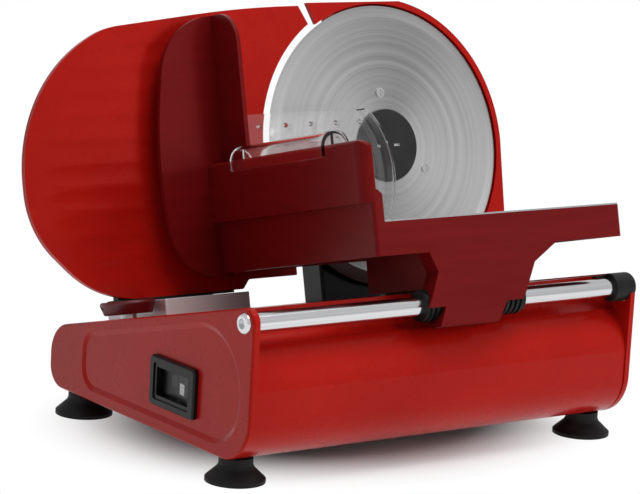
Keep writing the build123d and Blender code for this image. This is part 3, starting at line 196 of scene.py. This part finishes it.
def rocker_marks(b):
    """The white ON bar and the dim OFF mark of the switch."""
    on_bar = (ROCKER_FACE, -0.0522, 0.0455)
    off_mark = (ROCKER_FACE, -0.0425, 0.0485)
    return [
        (b.position, on_bar, (MARK_REACH, 0.0031, 0.0034), 0.75),
        (b.position, off_mark, (MARK_REACH, 0.0028, 0.0036), 0.05),
    ]


def knob_marks(b):
    """Two bright bars in the knob's slots, found in the blade's own plane."""
    arm = b.vector("SUBTRACT", b.position, BLADE_CENTRE)
    flat = b.add("ShaderNodeCombineXYZ")
    b.link(b.vector("DOT_PRODUCT", arm, ACROSS), flat.inputs[0])
    b.link(b.vector("DOT_PRODUCT", arm, UP), flat.inputs[1])
    return [(flat.outputs[0], (side * SLOT_OFFSET, 0, 0), SLOT_HALF, 0.62) for side in (-1, 1)]


def black_plastic(name, rough, tone):
    b = Nodes(name)
    b.set(Roughness=rough, Specular_IOR_Level=0.22)
    b.colour(b.grain(45, 4), (tone * 0.8,) * 3, (tone * 1.3, tone * 1.3, tone * 1.35))
    b.roughness(b.grain(120, 3), rough - 0.05, rough + 0.07)
    b.relief(b.grain(2600, 2), 0.12)
    return b.material


def rubber():
    """Black rubber with a trace of dust."""
    b = Nodes("rubber")
    b.set(Roughness=0.62, Specular_IOR_Level=0.2)
    dust = b.grain(70, 5)
    b.colour(dust, (0.010, 0.010, 0.011), (0.028, 0.027, 0.027), span=(0.4, 0.8))
    b.roughness(dust, 0.5, 0.72)
    b.relief(b.grain(1800, 3), 0.15)
    return b.material


def drawn_metal(name, shine, line, low, high, rough, relief):
    """Metal whose colour, roughness and relief follow the same drawn or rolled lines.

    shine holds the shader's constants, line the stretch and detail of the lines.
    """
    b = Nodes(name)
    b.set(**shine)
    streaks = b.streaks(*line)
    b.colour(streaks, low, high)
    b.roughness(streaks, *rough)
    b.relief(streaks, relief)
    return b.material


def chrome():
    shine = dict(Metallic=1.0, Roughness=0.12)
    low, high = (0.62, 0.62, 0.64), (0.78, 0.78, 0.79)
    return drawn_metal("chrome", shine, ((3, 900, 900), 3), low, high, (0.10, 0.2), 0.03)


def steel():
    shine = dict(Metallic=1.0, Roughness=0.3)
    low, high = (0.54,) * 3, (0.648,) * 3
    return drawn_metal("steel", shine, ((8, 600, 600), 4), low, high, (0.24, 0.38), 0.05)


def tray_steel():
    shine = dict(Metallic=1.0, Roughness=0.32, Anisotropic=0.4)
    low, high = (0.52, 0.52, 0.53), (0.66, 0.66, 0.67)
    return drawn_metal("tray_steel", shine, ((1400, 3, 3), 4), low, high, (0.28, 0.42), 0.05)


def aluminium():
    """Pale anodised metal, which scatters light more than it mirrors it."""
    shine = dict(Metallic=0.15, Roughness=0.34)
    low, high = (0.78, 0.78, 0.79), (0.88, 0.88, 0.89)
    return drawn_metal("aluminium", shine, ((6, 6, 700), 4), low, high, (0.28, 0.42), 0.08)


def blade_steel():
    """Turned steel: rings round the blade's axis, highlights drawn out along them, and two painted
    highlight sectors in its colour.
    """
    b = Nodes("blade_steel")
    b.set(Metallic=1.0, Roughness=0.3, Anisotropic=0.75)
    arm = b.vector("SUBTRACT", b.position, BLADE_CENTRE)
    reach = b.vector("LENGTH", arm)
    fine = b.rings(reach, 2600, 3)
    wide = b.rings(reach, 240, 2)
    rings = b.math("ADD", b.math("MULTIPLY", fine, 0.6), b.math("MULTIPLY", wide, 0.4))
    # two broad painted highlight sectors: brighter colour standing in for a lamp's sheen on turned
    # steel
    slant = ACROSS * math.cos(PAINTED_SHEEN_ANGLE) + UP * math.sin(PAINTED_SHEEN_ANGLE)
    along = b.math("DIVIDE", b.vector("DOT_PRODUCT", arm, slant), reach)
    painted_sheen_sector = b.math("MULTIPLY", b.math("MULTIPLY", along, along), 0.45)
    # the colour adds the rings' grain and the painted highlight sectors
    tone = b.math("ADD", rings, b.math("SUBTRACT", painted_sheen_sector, 0.2))
    b.colour(tone, (0.33, 0.325, 0.325), (0.66, 0.655, 0.655), span=(0.2, 0.8))
    b.roughness(fine, 0.24, 0.38)
    b.relief(fine, 0.05)
    round_it = b.vector("NORMALIZE", b.vector("CROSS_PRODUCT", arm, BACK))
    b.link(round_it, b.shader.inputs["Tangent"])
    return b.material


def clear_plastic():
    b = Nodes("clear_plastic")
    b.set(Roughness=0.03, IOR=1.47, Transmission_Weight=1.0, Specular_IOR_Level=0.5)
    b.colour(b.grain(20, 2), (0.92, 0.92, 0.925), (0.95, 0.95, 0.95))
    b.roughness(b.grain(60, 3), 0.02, 0.07)
    return b.material


def plain(name, low, high, rough, metallic=0.0):
    b = Nodes(name)
    b.set(Roughness=rough, Metallic=metallic)
    speck = b.grain(80, 4)
    b.colour(speck, low, high)
    b.roughness(speck, rough - 0.06, rough + 0.08)
    b.relief(b.grain(1200, 2), 0.08)
    return b.material


MATERIALS = {
    "red_paint": red_paint(),
    "wine_plastic": wine_plastic(),
    "black_plastic": black_plastic("black_plastic", 0.5, 0.009),
    "gloss_black": black_plastic("gloss_black", 0.28, 0.006),
    "rocker_black": marked_plastic("rocker_black", 0.004, 0.25, rocker_marks),
    "knob_plastic": marked_plastic("knob_plastic", 0.022, 0.4, knob_marks),
    "rubber": rubber(),
    "chrome": chrome(),
    "blade_steel": blade_steel(),
    "tray_steel": tray_steel(),
    "steel": steel(),
    "aluminium": aluminium(),
    "clear_plastic": clear_plastic(),
    "dial_plastic": plain("dial_plastic", (0.10, 0.004, 0.006), (0.13, 0.006, 0.008), 0.4),
    "nylon": plain("nylon", (0.70, 0.69, 0.64), (0.78, 0.77, 0.72), 0.45),
    "brass": plain("brass", (0.58, 0.40, 0.16), (0.68, 0.48, 0.2), 0.3, 1.0),
    "motor_metal": plain("motor_metal", (0.20, 0.20, 0.21), (0.26, 0.26, 0.27), 0.4, 0.6),
}
# pieces whose look is finer than their slot in the record says
OWN = {"tray_plate": "tray_steel", "switch_rocker": "rocker_black", "blade_knob": "knob_plastic"}
for row in frame["record"]["subparts"]:
    name = row["node"]
    mesh = nodes[name].data
    mesh.materials.clear()
    mesh.materials.append(MATERIALS[OWN.get(name, row["material_slot"])])

# ---- Camera, solved on the photograph ----
EYE = Vector((-1.0453241, -1.4070658, 0.4475002))
TARGET = Vector((-0.5357786, -0.7146667, 0.2833568))
ROLL = math.radians(3.2129)
SENSOR_WIDTH_MM = 36.0
LENS_MM = 156.714

scene = bpy.context.scene
forward = (TARGET - EYE).normalized()
level_right = forward.cross(Vector((0, 0, 1))).normalized()
level_up = level_right.cross(forward)
right = level_right * math.cos(ROLL) + level_up * math.sin(ROLL)
up = -level_right * math.sin(ROLL) + level_up * math.cos(ROLL)
camera_data = bpy.data.cameras.new("camera")
camera_data.sensor_width = SENSOR_WIDTH_MM
camera_data.lens = LENS_MM
camera_data.clip_start = 0.05
camera_data.clip_end = 50
camera = bpy.data.objects.new("camera", camera_data)
camera.matrix_world = Matrix.Translation(EYE) @ Matrix((right, up, -forward)).transposed().to_4x4()
scene.collection.objects.link(camera)
scene.camera = camera

# ---- Floor ----
FLOOR_HALF = 6.0
DEPTH_WEIGHT = 1.25  # the white comes nearer to the feet in front and behind than at the sides
FADE_START = 0.10
FADE_END = 0.205

corners = [(-1, -1), (1, -1), (1, 1), (-1, 1)]
floor_mesh = bpy.data.meshes.new("floor")
floor_mesh.from_pydata([(x * FLOOR_HALF, y * FLOOR_HALF, 0) for x, y in corners], [], [range(4)])
floor = bpy.data.objects.new("floor", floor_mesh)
scene.collection.objects.link(floor)


def floor_paint():
    """Pale sheet that fades to plain white away from the feet, as a lit studio sweep does."""
    b = Nodes("floor_paint")
    b.set(Roughness=0.6, Specular_IOR_Level=0.2)
    b.colour(b.grain(3, 2), (0.93, 0.93, 0.93), (0.95, 0.95, 0.95))
    white = b.add("ShaderNodeEmission")
    b.feed(white, ((1, 1, 1, 1), 1.0))
    reach = b.vector("LENGTH", b.vector("MULTIPLY", b.position, (1.0, DEPTH_WEIGHT, 0.0)))
    fade = b.add("ShaderNodeMapRange", interpolation_type="SMOOTHSTEP")
    b.feed(fade, (reach, FADE_START, FADE_END))
    ray = b.add("ShaderNodeLightPath").outputs
    through = b.math("MAXIMUM", ray["Is Camera Ray"], ray["Is Transmission Ray"])
    seen = b.math("MAXIMUM", through, ray["Is Glossy Ray"])
    mix = b.add("ShaderNodeMixShader")
    amount = b.math("MULTIPLY", fade.outputs["Result"], seen)
    for source, socket in zip((amount, b.shader.outputs[0], white.outputs[0]), mix.inputs):
        b.link(source, socket)
    b.link(mix.outputs[0], b.tree.nodes["Material Output"].inputs["Surface"])
    return b.material


floor_mesh.materials.append(floor_paint())

# ---- Backdrop: white where it is looked at, softer in reflections, dim as a source of light ----
LIT_COLOUR = (0.85, 0.86, 0.88, 1)
LIT_STRENGTH = 0.25
MIRRORED_SHARE = 0.55

world = bpy.data.worlds.new("world")
world.use_nodes = True
scene.world = world
tree = world.node_tree
tree.nodes.clear()


def backdrop_light(colour, strength):
    node = tree.nodes.new("ShaderNodeBackground")
    node.inputs["Color"].default_value = colour
    node.inputs["Strength"].default_value = strength
    return node.outputs[0]


def backdrop_math(operation, first, second):
    node = tree.nodes.new("ShaderNodeMath")
    node.operation = operation
    tree.links.new(first, node.inputs[0])
    if isinstance(second, float):
        node.inputs[1].default_value = second
    else:
        tree.links.new(second, node.inputs[1])
    return node.outputs[0]


path = tree.nodes.new("ShaderNodeLightPath").outputs
direct = backdrop_math("MAXIMUM", path["Is Camera Ray"], path["Is Transmission Ray"])
mirrored = backdrop_math("MULTIPLY", path["Is Glossy Ray"], MIRRORED_SHARE)
mix = tree.nodes.new("ShaderNodeMixShader")
tree.links.new(backdrop_math("MAXIMUM", direct, mirrored), mix.inputs[0])
tree.links.new(backdrop_light(LIT_COLOUR, LIT_STRENGTH), mix.inputs[1])
tree.links.new(backdrop_light((1, 1, 1, 1), 1.0), mix.inputs[2])
out = tree.nodes.new("ShaderNodeOutputWorld")
tree.links.new(mix.outputs[0], out.inputs["Surface"])


# ---- Lamps ----
def softbox(name, place, aim_height, size, power):
    """A rectangular area lamp, in watts, pointed at a height over the middle of the floor."""
    data = bpy.data.lights.new(name, "AREA")
    data.shape = "RECTANGLE"
    data.size, data.size_y = size
    data.energy = power
    lamp = bpy.data.objects.new(name, data)
    scene.collection.objects.link(lamp)
    lamp.location = place
    lamp.rotation_mode = "QUATERNION"
    aim = Vector((0, 0, aim_height)) - Vector(place)
    lamp.rotation_quaternion = aim.to_track_quat("-Z", "Y")
    return lamp


softbox("top_box", (0.3, -0.5, 2.0), 0.1, (1.2, 1.0), 20)
front_box = softbox("front_box", (1.3, -2.0, 0.9), 0.12, (0.8, 1.2), 15)
# the blade faces this lamp, so it doesn't mirror it
front_box.visible_glossy = False
front_box.visible_transmission = False
softbox("left_box", (-2.2, -0.1, 0.8), 0.12, (0.6, 1.0), 1.6)

scene.view_settings.view_transform = "Standard"
